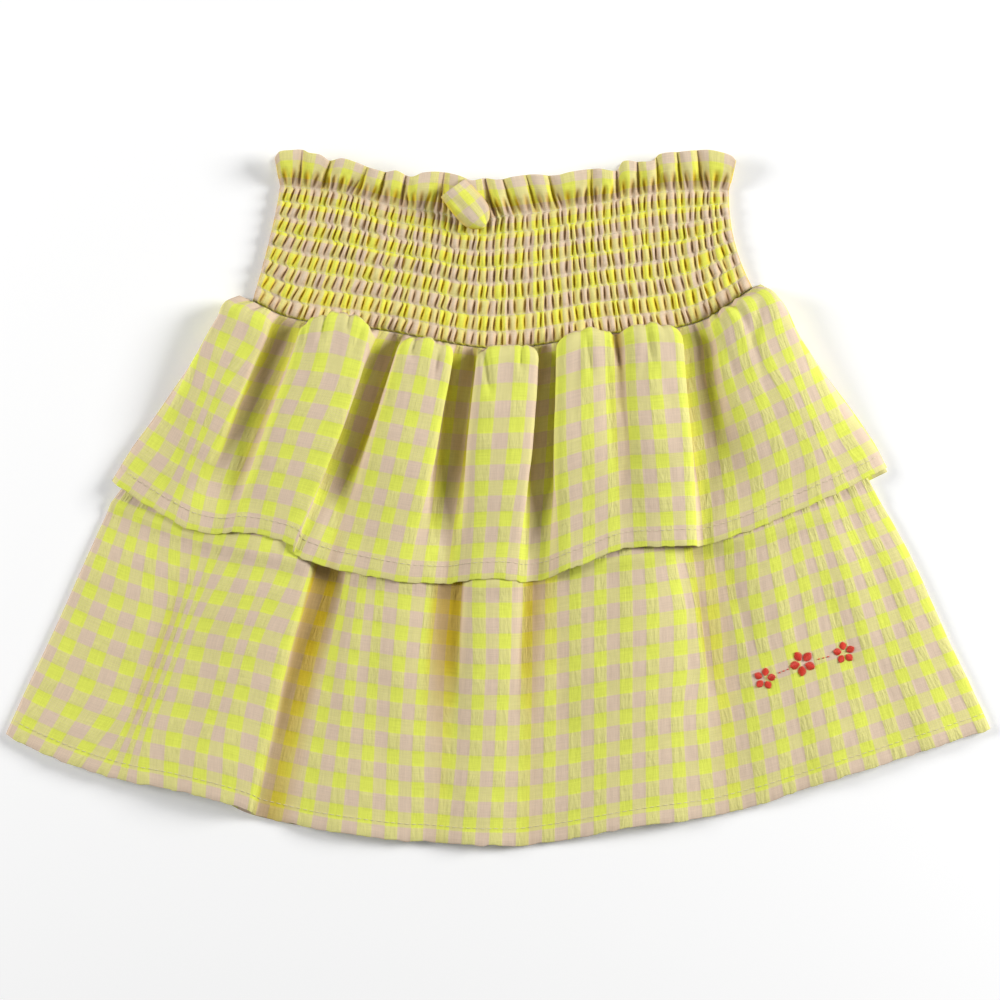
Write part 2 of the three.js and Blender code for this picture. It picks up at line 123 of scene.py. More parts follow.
def foldSheet(lines, cloth, depths, heights, bulges, turns, columnWidth, sideInset):
    count = len(lines)
    side = np.linspace(-1, 1, count)
    out = np.where(side < 0, curveAt(bulges, depths, 1), curveAt(bulges, depths, 2))
    x = lerp(lines[:, 0], lines[:, 1], depths) + side**3 * out
    y = lerp(curveAt(seamCurve, lines[:, 0]), lines[:, 2], depths)
    turned = np.zeros_like(x, bool)
    if turns is not None:
        turned[:, [0, -1]] = turns[:, None] > 0
        x = x - np.where(turned, side * sideInset, 0)
    points = np.stack([x, y, heights], axis=2)
    ends = np.concatenate([points[:, :1], points, points[:, -1:]], axis=1)
    along = ends[:, 2:] - ends[:, :-2]
    along[:, :, 2] = 0
    along /= np.linalg.norm(along, axis=2, keepdims=True)
    upright = along * 0.1
    upright[:, 0, 2], upright[:, -1, 2] = 1, -1
    along = np.where(turned[:, :, None], upright, along)
    along /= np.linalg.norm(along, axis=2, keepdims=True)
    start, end = points[:, :-1], points[:, 1:]
    chord = np.hypot(*(end - start)[:, :, :2].transpose(2, 0, 1))
    rise = end[:, :, 2] - start[:, :, 2]
    startShare = np.where(rise < 0, reach["crest"], reach["hollow"])
    endShare = np.where(rise < 0, reach["hollow"], reach["crest"])
    t = np.linspace(0, 1, 33)[:, None]

    def curveFor(level):
        startReach, endReach = level * chord * startShare, level * chord * endShare
        if turns is not None:
            startReach[:, 0] = turns
            endReach[:, -1] = turns
        a = start + along[:, :-1] * startReach[:, :, None]
        b = end - along[:, 1:] * endReach[:, :, None]
        return (start[:, :, None] * (1 - t)**3 + 3 * a[:, :, None] * t * (1 - t)**2
                + 3 * b[:, :, None] * t**2 * (1 - t) + end[:, :, None] * t**3)

    low = np.full(chord.shape, reach["least"])
    high = reach["most"] + reach["perSlope"] * np.clip(np.abs(rise) / chord - reach["gentle"], 0, 1)
    high = np.minimum(high, reach["overhang"])
    for _ in range(12):
        middle = (low + high) / 2
        arcs = np.linalg.norm(np.diff(curveFor(middle), axis=2), axis=3).sum(axis=2)
        short = arcs < cloth[:-1]
        low, high = np.where(short, middle, low), np.where(short, high, middle)
    curves = curveFor(low)
    runs = np.linalg.norm(np.diff(curves, axis=2), axis=3)
    arcs = np.concatenate([np.zeros((*chord.shape, 1)), np.cumsum(runs, axis=2)], axis=2)
    # the cut's width between the lines, as the mean of the lower half
    widths = arcs[len(arcs) // 2:, :, -1].mean(axis=0)
    lineAt = np.concatenate([[0], np.cumsum(widths)])
    arcs /= arcs[:, :, -1:]
    grid, grain, down = [points[:, :1]], [np.zeros(1)], [depths[:, :1]]
    for i in range(count - 1):
        steps = max(4, int(round(cloth[i] / columnWidth)))
        share = np.arange(1, steps + 1) / steps
        piece = np.empty((len(depths), steps, 3))
        for r in range(len(depths)):
            for axis in range(3):
                piece[r, :, axis] = np.interp(share, arcs[r, i], curves[r, i, :, axis])
        grid.append(piece)
        grain.append(lineAt[i] + share * widths[i])
        down.append(lerp(depths[:, i:i + 1], depths[:, i + 1:i + 2], share))
    grid, grain, down = np.concatenate(grid, axis=1), np.concatenate(grain), np.concatenate(down, axis=1)
    offSeam = curveAt(seamCurve, grid[0, :, 0]) - grid[0, :, 1]
    grid[:, :, 1] += offSeam * (1 - down)
    return grid, grain, down, lineAt


def spread(values, reachOut, how):
    padded = np.pad(values, reachOut, mode="edge")
    size = 2 * reachOut + 1
    return how(np.lib.stride_tricks.sliding_window_view(padded, (size, size)), axis=(2, 3))


def raisedOver(grid, below, gap):
    # lifts the cloth softly where it would come closer than the gap to the cloth below it
    rows, columns = below.shape[:2]
    index = np.arange(rows * columns).reshape(rows, columns)
    quads = np.stack([index[:-1, :-1], index[:-1, 1:], index[1:, 1:], index[1:, :-1]], axis=2).reshape(-1, 4)
    tree = BVHTree.FromPolygons(below.reshape(-1, 3).tolist(), quads.tolist())
    short = np.zeros(grid.shape[:2])
    for r, c in np.ndindex(short.shape):
        hit = tree.ray_cast(Vector((grid[r, c, 0], grid[r, c, 1], 100)), Vector((0, 0, -1)))[0]
        if hit is not None:
            short[r, c] = max(hit.z + gap - grid[r, c, 2], 0)
    raised = grid.copy()
    raised[:, :, 2] += spread(spread(short, 4, np.max), 4, np.mean)
    print("lifted the upper cloth by up to", round(float(short.max()), 2), "mm")
    return raised


def besideRun(grid, x0, y0, x1, y1):
    # how far each point is along a straight run, as a share of it, and how far to its left
    length = math.hypot(x1 - x0, y1 - y0)
    ux, uy = (x1 - x0) / length, (y1 - y0) / length
    dx, dy = grid[:, :, 0] - x0, grid[:, :, 1] - y0
    return (dx * ux + dy * uy) / length, dy * ux - dx * uy


def creased(grid, creases):
    # soft troughs along straight runs, with columns x0, y0, x1, y1, half width, depth
    relief = np.zeros(grid.shape[:2])
    for x0, y0, x1, y1, width, depth in creases:
        share, off = besideRun(grid, x0, y0, x1, y1)
        fade = smooth(share, -0.12, 0.25) * (1 - smooth(share, 0.6, 1.12))
        relief -= depth * fade * np.exp(-(off / width)**2)
    return relief


def tucked(grid, tucks):
    # how much further the grain has run past a soft tuck: x0, y0, x1, y1, half width, cloth in it
    shift = np.zeros(grid.shape[:2])
    for x0, y0, x1, y1, width, cloth in tucks:
        share, off = besideRun(grid, x0, y0, x1, y1)
        fade = smooth(share, -0.3, 0.3) * (1 - smooth(share, 0.7, 1.3))
        shift += cloth * fade * (smooth(off, -width, width) - 0.5) * np.exp(-(off / (4 * width))**2)
    return shift


def rippledHem(outer, grain, fromHem, seed):
    # the stitched hem draws the edge up and down a little
    down = outer[-1] - outer[-4]
    down /= np.linalg.norm(down, axis=1, keepdims=True)
    ripple = 0.5 * waves(grain / 4.5, 0.5, seed) + 0.35 * waves(grain / 2.1, 0.5, seed + 1)
    return outer + down[None] * (ripple[None, :] * np.exp(-np.maximum(fromHem, 0) / 3.5))[:, :, None]


def turnedHem(outer, rows):
    # the cloth goes round the hem edge and lies inside it, up to the row of stitches
    normal = outwards(outer)
    down = outer[-1] - outer[-2]
    down /= np.linalg.norm(down, axis=1, keepdims=True)
    wrap = [outer[-1] + down * hemRadius * math.sin(a) - normal[-1] * hemRadius * (1 - math.cos(a))
            for a in turnAngles]
    back = [outer[r] - normal[r] * 2 * hemRadius for r in rows]
    return np.concatenate([outer, np.array(wrap), np.array(back)], axis=0)


def hollowness(grid, columns, low, high):
    # from 0 on a crest to 1 in a hollow: how far a point lies below the cloth on both sides of it
    # the result is painted shade: it darkens the cloth's colour in the hollows
    height = np.pad(grid[:, :, 2], ((0, 0), (columns, columns)), mode="edge")
    total = np.cumsum(np.pad(height, ((0, 0), (1, 0))), axis=1)
    width = 2 * columns + 1
    mean = (total[:, width:] - total[:, :-width]) / width
    return smooth(mean - grid[:, :, 2], low, high)


def placed(name, data):
    made = bpy.data.objects.new(name, data)
    bpy.context.scene.collection.objects.link(made)
    return made


def sheetObject(name, grid, grain, material, paintedShade, thickness=clothThickness):
    rows, columns = grid.shape[:2]
    bm = bmesh.new()
    bmesh.ops.create_grid(bm, x_segments=columns - 1, y_segments=rows - 1, size=1)
    at = np.array([v.co[:2] for v in bm.verts])
    c = np.rint((at[:, 0] + 1) / 2 * (columns - 1)).astype(int)
    r = rows - 1 - np.rint((at[:, 1] + 1) / 2 * (rows - 1)).astype(int)
    mesh = bpy.data.meshes.new(name)
    bm.to_mesh(mesh)
    bm.free()
    mesh.vertices.foreach_set("co", (grid[r, c] * mm).astype(np.float32).ravel())
    corners = np.empty(len(mesh.loops), int)
    mesh.loops.foreach_get("vertex_index", corners)
    layerOfUv = mesh.uv_layers.new(name="grain")
    layerOfUv.data.foreach_set("uv", grain[r, c][corners].astype(np.float32).ravel())
    # painted shade per point, which the cloth's material turns into darker colours
    deep = mesh.attributes.new("paintedShade", "FLOAT", "POINT")
    deep.data.foreach_set("value", np.broadcast_to(paintedShade, (rows, columns))[r, c].astype(np.float32))
    mesh.polygons.foreach_set("use_smooth", np.ones(len(mesh.polygons), bool))
    mesh.materials.append(material)
    mesh.update()
    made = placed(name, mesh)
    shell = made.modifiers.new("cloth", "SOLIDIFY")
    shell.thickness = thickness * mm
    shell.offset = -1
    return made


def declare(piece, node, flat, on=()):
    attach(piece, "root")
    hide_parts(node)
    for small in on:
        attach(small, "root")
    print(piece.name, "flat", round(flat[0]), "by", round(flat[1]), "mm,", len(piece.data.polygons), "faces")


# Shader helpers
def feed(tree, socket, value):
    # a link where the value comes out of another node, and else a fixed value
    if isinstance(value, bpy.types.NodeSocket):
        tree.links.new(value, socket)
    else:
        socket.default_value = value


def put(tree, kind, sockets=None, **settings):
    node = tree.nodes.new(kind)
    for key, value in settings.items():
        setattr(node, key, value)
    for key, value in (sockets or {}).items():
        feed(tree, node.inputs[key], value)
    return node


def calc(tree, operation, a, b=0.0, c=0.0):
    node = put(tree, "ShaderNodeMath", operation=operation)
    for socket, value in zip(node.inputs, (a, b, c)):
        feed(tree, socket, value)
    return node.outputs[0]


def blend(tree, factor, a, b):
    node = put(tree, "ShaderNodeMix", data_type="RGBA")
    for index, value in ((0, factor), (6, a), (7, b)):
        feed(tree, node.inputs[index], value)
    return node.outputs[2]


def ramp(tree, value, low, high):
    node = put(tree, "ShaderNodeMapRange", {"Value": value, "From Min": low, "From Max": high},
               interpolation_type="SMOOTHSTEP")
    return node.outputs[0]


def groupOf(name, inputs, outputs):
    tree = bpy.data.node_groups.new(name, "ShaderNodeTree")
    for label, kind, value in inputs:
        socket = tree.interface.new_socket(label, in_out="INPUT", socket_type=kind)
        if value is not None:
            socket.default_value = value
    for label, kind in outputs:
        tree.interface.new_socket(label, in_out="OUTPUT", socket_type=kind)
    return tree, tree.nodes.new("NodeGroupInput").outputs, tree.nodes.new("NodeGroupOutput").inputs


weave = {
    "slubFine": 2.3, "slubLong": 0.09, "slubTone": 0.2, "wideTone": 0.1, "roughness": 0.78,
    "slubRoughness": 0.1, "wrinkleAcross": 0.62, "wrinkleDown": 0.13, "tight": 0.75, "slack": 0.85,
    "pillow": 0.16, "threadHeight": 0.03,
}


def makeGingham():
    # woven checks on a grain in millimetres: x across the cloth, y down it
    tree, given, result = groupOf("gingham", [
        ("Grain", "NodeSocketVector", None),
        ("Across", "NodeSocketFloat", checkAcross),
        ("Down", "NodeSocketFloat", checkDown),
        *((label, "NodeSocketColor", None) for label in ("Yellow", "Beige", "Yellow In Painted Shade", "Beige In Painted Shade")),
        ("Painted Shade", "NodeSocketFloat", None),
        ("Thread", "NodeSocketFloat", threadPitch),
        ("Pucker", "NodeSocketFloat", None),
    ], [("Color", "NodeSocketColor"), ("Height", "NodeSocketFloat"), ("Roughness", "NodeSocketFloat")])
    split = put(tree, "ShaderNodeSeparateXYZ", {"Vector": given["Grain"]})
    u, v = split.outputs[0], split.outputs[1]
    wander = put(tree, "ShaderNodeTexNoise", {"Vector": given["Grain"], "Scale": 1.6, "Detail": 2.0})
    shift = calc(tree, "MULTIPLY_ADD", wander.outputs[0], 0.5, -0.25)
    uEdge, vEdge = calc(tree, "ADD", u, shift), calc(tree, "SUBTRACT", v, shift)

    def stripe(value, repeat):
        turn = calc(tree, "FRACT", calc(tree, "DIVIDE", value, repeat))
        fromMiddle = calc(tree, "ABSOLUTE", calc(tree, "SUBTRACT", turn, 0.5))
        peak = calc(tree, "SUBTRACT", 1.0, calc(tree, "MULTIPLY", fromMiddle, 2.0))
        return ramp(tree, peak, 0.48, 0.54), ramp(tree, peak, 0.3, 0.74), peak

    warp, warpSoft, warpPeak = stripe(uEdge, given["Across"])
    weft, weftSoft, weftPeak = stripe(vEdge, given["Down"])
    warpTurn = calc(tree, "DIVIDE", u, given["Thread"])
    weftTurn = calc(tree, "DIVIDE", v, given["Thread"])
    sinU = calc(tree, "SINE", calc(tree, "MULTIPLY", warpTurn, math.pi))
    sinV = calc(tree, "SINE", calc(tree, "MULTIPLY", weftTurn, math.pi))
    cross = calc(tree, "MULTIPLY", sinU, sinV)
    warpOver = ramp(tree, cross, -0.25, 0.25)
    # painted shade: where it is high, both colours turn darker and more orange, in place of the shade and
    # bounced light in hollows
    yellow = blend(tree, given["Painted Shade"], given["Yellow"], given["Yellow In Painted Shade"])
    beige = blend(tree, given["Painted Shade"], given["Beige"], given["Beige In Painted Shade"])
    warpColor = blend(tree, warp, beige, yellow)
    weftColor = blend(tree, weft, beige, yellow)
    share = calc(tree, "MULTIPLY_ADD", warpOver, 0.5, 0.29)
    woven = blend(tree, share, weftColor, warpColor)

    def stretched(across, down, detail, distortion=0.0):
        # noise with a scale of its own across the cloth and down it
        x, y = calc(tree, "MULTIPLY", u, across), calc(tree, "MULTIPLY", v, down)
        place = put(tree, "ShaderNodeCombineXYZ", {"X": x, "Y": y})
        noise = put(tree, "ShaderNodeTexNoise", {
            "Vector": place.outputs[0], "Scale": 1.0, "Detail": detail, "Distortion": distortion})
        return noise.outputs[0]

    slubWarp = stretched(weave["slubFine"], weave["slubLong"], 1.0)
    slubWeft = stretched(weave["slubLong"], weave["slubFine"], 1.0)
    slub = calc(tree, "ADD", slubWarp, slubWeft)
    slubTone = calc(tree, "MULTIPLY_ADD", slub, weave["slubTone"], 1 - weave["slubTone"])
    wide = put(tree, "ShaderNodeTexNoise", {"Vector": given["Grain"], "Scale": 0.035, "Detail": 3.0})
    wideTone = calc(tree, "MULTIPLY_ADD", wide.outputs[0], weave["wideTone"], -weave["wideTone"] / 2)
    tone = calc(tree, "ADD", slubTone, wideTone)
    scaled = put(tree, "ShaderNodeVectorMath", {0: woven, "Scale": tone}, operation="SCALE")
    tree.links.new(scaled.outputs[0], result["Color"])

    # the warp stripes are slack and pucker, most of all between the weft's
    wrinkle = stretched(weave["wrinkleAcross"], weave["wrinkleDown"], 2.0, 0.4)
    tight = calc(tree, "MULTIPLY", weftSoft, weave["tight"])
    mixed = calc(tree, "MULTIPLY", warpSoft, calc(tree, "SUBTRACT", 1.0, tight))
    slack = calc(tree, "MULTIPLY_ADD", mixed, weave["slack"], 1 - weave["slack"])
    puckered = calc(tree, "MULTIPLY", calc(tree, "MULTIPLY", wrinkle, slack), given["Pucker"])
    offWarp, offWeft = calc(tree, "SUBTRACT", 1.0, warpPeak), calc(tree, "SUBTRACT", 1.0, weftPeak)
    pillow = calc(tree, "MULTIPLY", calc(tree, "MULTIPLY", offWarp, offWeft), weave["pillow"])
    thread = calc(tree, "MULTIPLY", calc(tree, "ABSOLUTE", cross), weave["threadHeight"])
    height = calc(tree, "ADD", calc(tree, "ADD", puckered, pillow), thread)
    roughness = calc(tree, "MULTIPLY_ADD", slub, weave["slubRoughness"], weave["roughness"])
    tree.links.new(height, result["Height"])
    tree.links.new(roughness, result["Roughness"])
    return tree


gingham = makeGingham()


def newMaterial(name):
    material = bpy.data.materials.new(name)
    material.use_nodes = True
    return material, material.node_tree, material.node_tree.nodes["Principled BSDF"]


def clothMaterial(name, look):
    material, tree, shader = newMaterial(name)
    grain = put(tree, "ShaderNodeUVMap", uv_map="grain")
    # painted shade per point, read from the mesh's attribute
    deep = put(tree, "ShaderNodeAttribute", attribute_name="paintedShade")
    woven = put(tree, "ShaderNodeGroup", {
        "Grain": grain.outputs[0], "Painted Shade": deep.outputs["Fac"], "Pucker": look["pucker"],
        "Yellow": look["yellow"], "Beige": look["beige"],
        "Yellow In Painted Shade": look["yellowInPaintedShade"], "Beige In Painted Shade": look["beigeInPaintedShade"],
    }, node_tree=gingham)
    bump = put(tree, "ShaderNodeBump", {"Strength": 1.0, "Distance": mm, "Height": woven.outputs["Height"]})
    tree.links.new(woven.outputs["Color"], shader.inputs["Base Color"])
    tree.links.new(woven.outputs["Roughness"], shader.inputs["Roughness"])
    tree.links.new(bump.outputs[0], shader.inputs["Normal"])
    shader.inputs["Sheen Weight"].default_value = look["sheen"]
    shader.inputs["Sheen Roughness"].default_value = 0.5
    shader.inputs["Specular IOR Level"].default_value = 0.25
    return material


# The deep colours are painted shade: the darker, more orange colours the checks take in hollows and gathers
clothLook = {
    "yellow": (0.76, 0.82, 0.115, 1), "beige": (0.73, 0.57, 0.43, 1), "yellowInPaintedShade": (0.62, 0.43, 0.018, 1),
    "beigeInPaintedShade": (0.52, 0.35, 0.15, 1), "pucker": 0.72, "sheen": 0.04,
}
shirredLook = {
    "yellow": (0.82, 0.84, 0.12, 1), "beige": (0.76, 0.61, 0.45, 1), "yellowInPaintedShade": (0.8, 0.5, 0.01, 1),
    "beigeInPaintedShade": (0.6, 0.38, 0.19, 1), "pucker": 0.45, "sheen": 0.04,
}
tierCloth = clothMaterial("tierGingham", clothLook)
waistCloth = clothMaterial("waistGingham", shirredLook)


def seamGathers(u, v, look):
    # small gathers under the seam, of uneven depth and length
    phase = u / look["gather"] + 0.35 * waves(u / 16, v / 30, look["seed"])
    hollow = np.rint(phase)
    trough = np.exp(-((phase - hollow) / 0.2)**2) - 0.3
    size = 0.35 + 0.95 * scatter(hollow, 0, look["seed"] + 1)
    fade = look["gatherFade"] * (0.5 + 2.4 * scatter(hollow, 1, look["seed"] + 1)**2)
    return -look["gatherHeight"] * size * trough * np.exp(-v / fade)


def tierRelief(grain, down, length, look):
    u, v = np.broadcast_arrays(grain[None, :], down * length)
    gathers = seamGathers(u, v, look) if "gather" in look else 0
    drape = look["drape"] * waves(u / 15, v / 75, look["seed"] + 2) * smooth(v, 4, 30)
    crumple = 0.15 * waves(u / 6.2, v / 15, look["seed"] + 3) + 0.08 * waves(u / 2.9, v / 6, look["seed"] + 4)
    fromHem = length - v
    hem = (0.16 * waves(u / 4.2, 0.5, look["seed"] + 5) * np.exp(-((fromHem - hemDepth) / 3)**2)
           + 0.3 * waves(u / 9, 0.5, look["seed"] + 6) * np.exp(-fromHem / 5)
           - 0.12 * np.exp(-((fromHem - hemDepth) / 0.8)**2))
    return gathers + drape + crumple + hem


# Upper tier, front. Crests and hollows as seamX, hemX, hemY, rise, hemRise, cloth, backCloth, shoulder
upperLines = np.array([
    (-121, -183.8, 8.2, 1.4, 1.4, 24, 22, 0),
    (-113, -161.8, -6, 14, 8, 32, 26, 2),
    (-99, -141, -15.6, 4.6, 5.5, 50, 40, 0),
    (-72, -106, -18.5, 18.5, 15, 50, 36, 9.5),
    (-49.5, -92.5, -28.3, 4.2, 7.5, 40, 30, 0),
    (-32, -60, -36.5, 16.5, 10, 40, 32, 3.5),
    (-15.5, -28.8, -40.3, 4.2, 5.5, 40, 31, 0),
    (6, -4, -37.9, 18, 10, 48, 34, 5),
    (25.5, 18.7, -38.9, 4.2, 4.5, 46, 33, 0),
    (41, 42.2, -30.2, 18, 10.5, 20, 20, 7),
    (56, 60, -23.5, 14, 10, 24, 24, 4.5),
    (72.5, 82, -22.1, 18, 13, 46, 32, 6),
    (91, 103.2, -20.6, 4.4, 5, 52, 46, 0),
    (113, 145.4, -4.3, 15, 8, 46, 44, 4),
    (125, 187.2, 14.9, 1.4, 1.4, 0, 0, 0)])
upperBulges = np.array([(0, 0, 0), (0.04, 5, 1.8), (0.12, 3.8, 3.3), (0.25, 3.8, 1.4),
                        (0.4, 2.9, 1.4), (0.6, 2.1, 2.5), (0.85, 1.8, 2.4), (1, 0, 0)])
upperFront = {
    "turn": 7, "swell": 9, "columnWidth": 1.4, "sideInset": 0.75, "fine": 14, "fineRows": 13, "step": 1.35,
    "gather": 12.5, "gatherHeight": 1.9, "gatherFade": 12, "drape": 0.8, "seed": 3, "hemSeed": 41,
    "gapBelow": 0.9, "shoulderFrom": 9, "shoulderFull": 15,
    "tucks": ((-132, 62, -152, 2, 8, 11), (-78, 40, -100, -15, 6, -4), (140, 60, 158, 15, 8, 7)),
    # columns on each side that are compared, and the depths where the painted shade starts and ends
    "hollows": (12, 0.6, 4),
}
# near the seam the hollows keep the painted shade they have at this distance
paintedShadeHead = 14               # from here up to the seam the hollows stay as dark as they are here


def hemmedRows(length, look, step):
    # distances down the cloth: close together at the seam, then one per step, and even rows in the hem
    head = np.linspace(0, look["fine"], look["fineRows"] + 1)[:-1]
    body = np.arange(look["fine"], length - hemDepth - step * 0.5, step)
    return np.concatenate([head, body, length - hemDepth + np.array([0, 2.7, 5.4, 8.0])])


def hemmedPiece(name, outer, grain, v, length, look):
    # the tier with its hem turned under, and the size of its cut
    last = len(outer) - 1
    under = [last, last - 1, last - 2, last - 3]
    u = grain[None, :] + tucked(outer, look["tucks"])
    # painted shade, darker in the hollows between the folds
    paintedShade = hollowness(outer, *look["hollows"])
    head = np.searchsorted(v.mean(axis=1), paintedShadeHead)
    paintedShade[:head] = np.maximum(paintedShade[:head], paintedShade[head])
    grid = turnedHem(outer, under)
    turn = len(turnAngles)
    u = np.concatenate([u, np.repeat(u[-1:], turn, axis=0), u[under]])
    v = np.concatenate([v, np.repeat(v[-1:], turn, axis=0), 2 * length - v[under]])
    paintedShade = np.concatenate([paintedShade, np.repeat(paintedShade[-1:], turn, axis=0), paintedShade[under]])
    piece = sheetObject(name, grid, np.stack([u, v], axis=2), tierCloth, paintedShade)
    return piece, (float(grain[-1]), length + hemDepth)


def makeUpperFront(below):
    rise, hemRise, cloth, _, shoulders = upperLines[:, 3:].T
    down = hemmedRows(upperLength, upperFront, upperFront["step"]) / upperLength
    depths = np.repeat(down[:, None], len(upperLines), axis=1)
    swell = np.sqrt(1 - (1 - np.clip(depths * upperLength / upperFront["swell"], 0, 1))**2)
    swollen = lerp(rise, hemRise, smooth(depths, 0.4, 1))
    seamHeight = np.full(len(upperLines), waistTop + layer)
    seamHeight[[0, -1]] = layer
    heights = lerp(seamHeight, swollen, swell)
    turns = np.full(len(down), float(upperFront["turn"]))
    inner, grain, depth, lineAt = foldSheet(upperLines, cloth, depths, heights, upperBulges, turns,
                                            upperFront["columnWidth"], upperFront["sideInset"])
    high = np.clip((inner[:, :, 2] - upperFront["shoulderFrom"])
                   / (upperFront["shoulderFull"] - upperFront["shoulderFrom"]), 0, 1)
    shoulder = np.interp(grain, lineAt, shoulders)
    inner[:, :, 1] += shoulder * high * np.exp(-(np.maximum(depth * upperLength - 4, 0) / 15)**2)
    normal = outwards(inner)
    normal[0] = (0, 0, 1)
    relief = tierRelief(grain, depth, upperLength, upperFront) + creased(inner, upperCreases)
    room = 0.55 + np.clip(inner[:, :, 2] - 4.6, 0, 3)
    outer = inner + normal * (solidWall + np.maximum(relief, -room))[:, :, None]
    v = depth * upperLength
    outer = rippledHem(outer, grain, upperLength - v, upperFront["hemSeed"])
    outer = raisedOver(outer, below, upperFront["gapBelow"])
    return (*hemmedPiece("upperTierFront", outer, grain, v, upperLength, upperFront), outer)


# x0, y0, x1, y1, half width, depth
upperCreases = [
    (-5.8, 72, -2.9, 49, 1.5, 2.2),
    (43, 78, 45, 58, 1.3, 1.7),
    (55, 79, 59, 62, 1.2, 1.6),
    (125, 94, 121.5, 71, 2.2, 1.4),
    (-90, 88, -93, 70, 1.5, 1.7),
    (-80, 92, -84, 74, 1.3, 1.9),
    (-70, 90, -71, 78, 1.2, 1.6),
    (-63, 84, -70, 62, 1.6, 1.2),
    (-38, 80, -41, 66, 1.3, 1.5),
    (-25, 80, -30, 56, 1.4, 1.4),
    (12, 74, 11, 60, 1.2, 1.5),
    (72, 82, 74, 64, 1.3, 1.5),
    (104, 84, 116, 52, 2.6, 0.7),
    (80, 60, 90, 5, 3, 0.5),
    (-130, 60, -150, 10, 3, 0.5),
]

# Lower tier, front. Crests and hollows as seamX, hemX, hemY, rise, hemRise, cloth, backCloth
# The rises are above the cloth behind
lowerLines = np.array([
    (-113, -235.7, -112.8, 0, 0, 58, 58),
    (-105, -190.6, -131, 4, 3, 62, 60),
    (-71, -135.4, -143.5, 11.5, 8, 32, 26),
    (-60, -113, -152.6, 0.3, 0.3, 56, 54),
    (-47, -61, -161.3, 7, 4, 38, 34),
    (-14, -28.8, -164, 0.3, 1.2, 26, 24),
    (2, -8.2, -165.4, 7, 3.6, 32, 28),
    (20, 17, -165, 0.3, 0.8, 60, 58),
    (67, 70, -156, 6.5, 4.2, 46, 42),
    (82, 109.4, -150.2, 0.3, 0.8, 64, 62),
    (110, 169.4, -131.5, 5, 3.2, 70, 68),
    (117, 236.4, -110, 0, 0, 0, 0)])
lowerBulges = np.array([(0, 0, 0), (0.2, 3, 5), (0.35, 6, 9), (0.4, 10, 9.9), (0.432, 15.6, 10),
                        (0.5, 14.3, 9.7), (0.6, 11.4, 9), (0.7, 8.2, 6.5), (0.8, 5.4, 4),
                        (0.89, 3.2, 2.4), (1, 0, 0)])
lowerFront = {
    "turn": 3, "columnWidth": 1.5, "sideInset": 0.75, "hemMargin": 3, "hemSlope": 6, "hidden": 12, "slope": 4,
    "fine": 4, "fineRows": 1, "step": 1.7, "gapBehind": 0.3, "drape": 0.9, "seed": 11, "hemSeed": 43,
    "broadFold": ((-71, -134), (-48, -110)),    # in front, its sharp right edge and the hollow beside it
    # columns on each side that are compared, and the depths where the painted shade starts and ends
    "hollows": (18, 0.5, 3.5),
    "tucks": ((-143, -38, -178, -124, 10, 24), (-112, -45, -140, -120, 8, 6), (95, -38, 103, -92, 5, 8),
              (108, -34, 122, -80, 6, 5), (-20, -60, -30, -140, 8, -4)),
}


def depthsPastHem(distance):
    low, high = np.zeros(len(lowerLines)), np.ones(len(lowerLines))
    for _ in range(24):
        middle = (low + high) / 2
        x = lerp(lowerLines[:, 0], lowerLines[:, 1], middle)
        y = lerp(curveAt(seamCurve, lowerLines[:, 0]), lowerLines[:, 2], middle)
        short = curveAt(upperBackHem, x) - y < distance
        low, high = np.where(short, middle, low), np.where(short, high, middle)
    return low


lowerCovered = depthsPastHem(lowerFront["hemMargin"])
lowerLanded = depthsPastHem(lowerFront["hemMargin"] + lowerFront["hemSlope"])


def lowerDepths(hidden, slope, shown):
    top = np.linspace(0, 1, hidden)[:, None] * lowerCovered
    middle = lerp(lowerCovered, lowerLanded, (np.arange(1, slope) / slope)[:, None])
    return np.concatenate([top, middle, lerp(lowerLanded, 1, shown[:, None])])


def backHeight(depths):
    landed = np.clip((depths - lowerCovered) / (lowerLanded - lowerCovered), 0, 1)
    return lerp(solidWall + layer, solidWall, landed)


def makeLowerFront():
    shownLength = lowerLength * (1 - lowerLanded.mean())
    shown = hemmedRows(shownLength, lowerFront, lowerFront["step"]) / shownLength
    depths = lowerDepths(lowerFront["hidden"], lowerFront["slope"], shown)
    table = lowerLines.copy()
    table[2:4, :2] = lowerFront["broadFold"]
    rise, hemRise, cloth, _ = table[:, 3:].T
    towardsHem = lerp(rise, hemRise, smooth(depths, 0.52, 0.88))
    heights = backHeight(depths) + lowerFront["gapBehind"] + towardsHem * smooth(depths, 0.3, 0.47)
    turns = lowerFront["turn"] * smooth(depths[:, 0], 0.42, 0.6)
    inner, grain, depth, _ = foldSheet(table, cloth, depths, heights, lowerBulges, turns,
                                       lowerFront["columnWidth"], lowerFront["sideInset"])
    normal = outwards(inner)
    relief = tierRelief(grain, depth, lowerLength, lowerFront) + creased(inner, lowerCreases)
    relief *= smooth(depth, 0.36, 0.5)
    outer = inner + normal * (solidWall + np.maximum(relief, -0.6))[:, :, None]
    v = depth * lowerLength
    outer = rippledHem(outer, grain, lowerLength - v, lowerFront["hemSeed"])
    return (*hemmedPiece("lowerTierFront", outer, grain, v, lowerLength, lowerFront), outer)


lowerCreases = [
    (-150, -45, -182, -125, 5, 1.0),
    (95, -40, 104, -95, 3, 0.8),
    (110, -32, 125, -80, 3.5, 0.7),
    (-35, -55, -40, -130, 4, 0.5),
    (30, -60, 34, -150, 5, 0.6),
    (150, -30, 175, -95, 5, 0.6),
    (-95, -60, -108, -120, 3, 0.6),
]


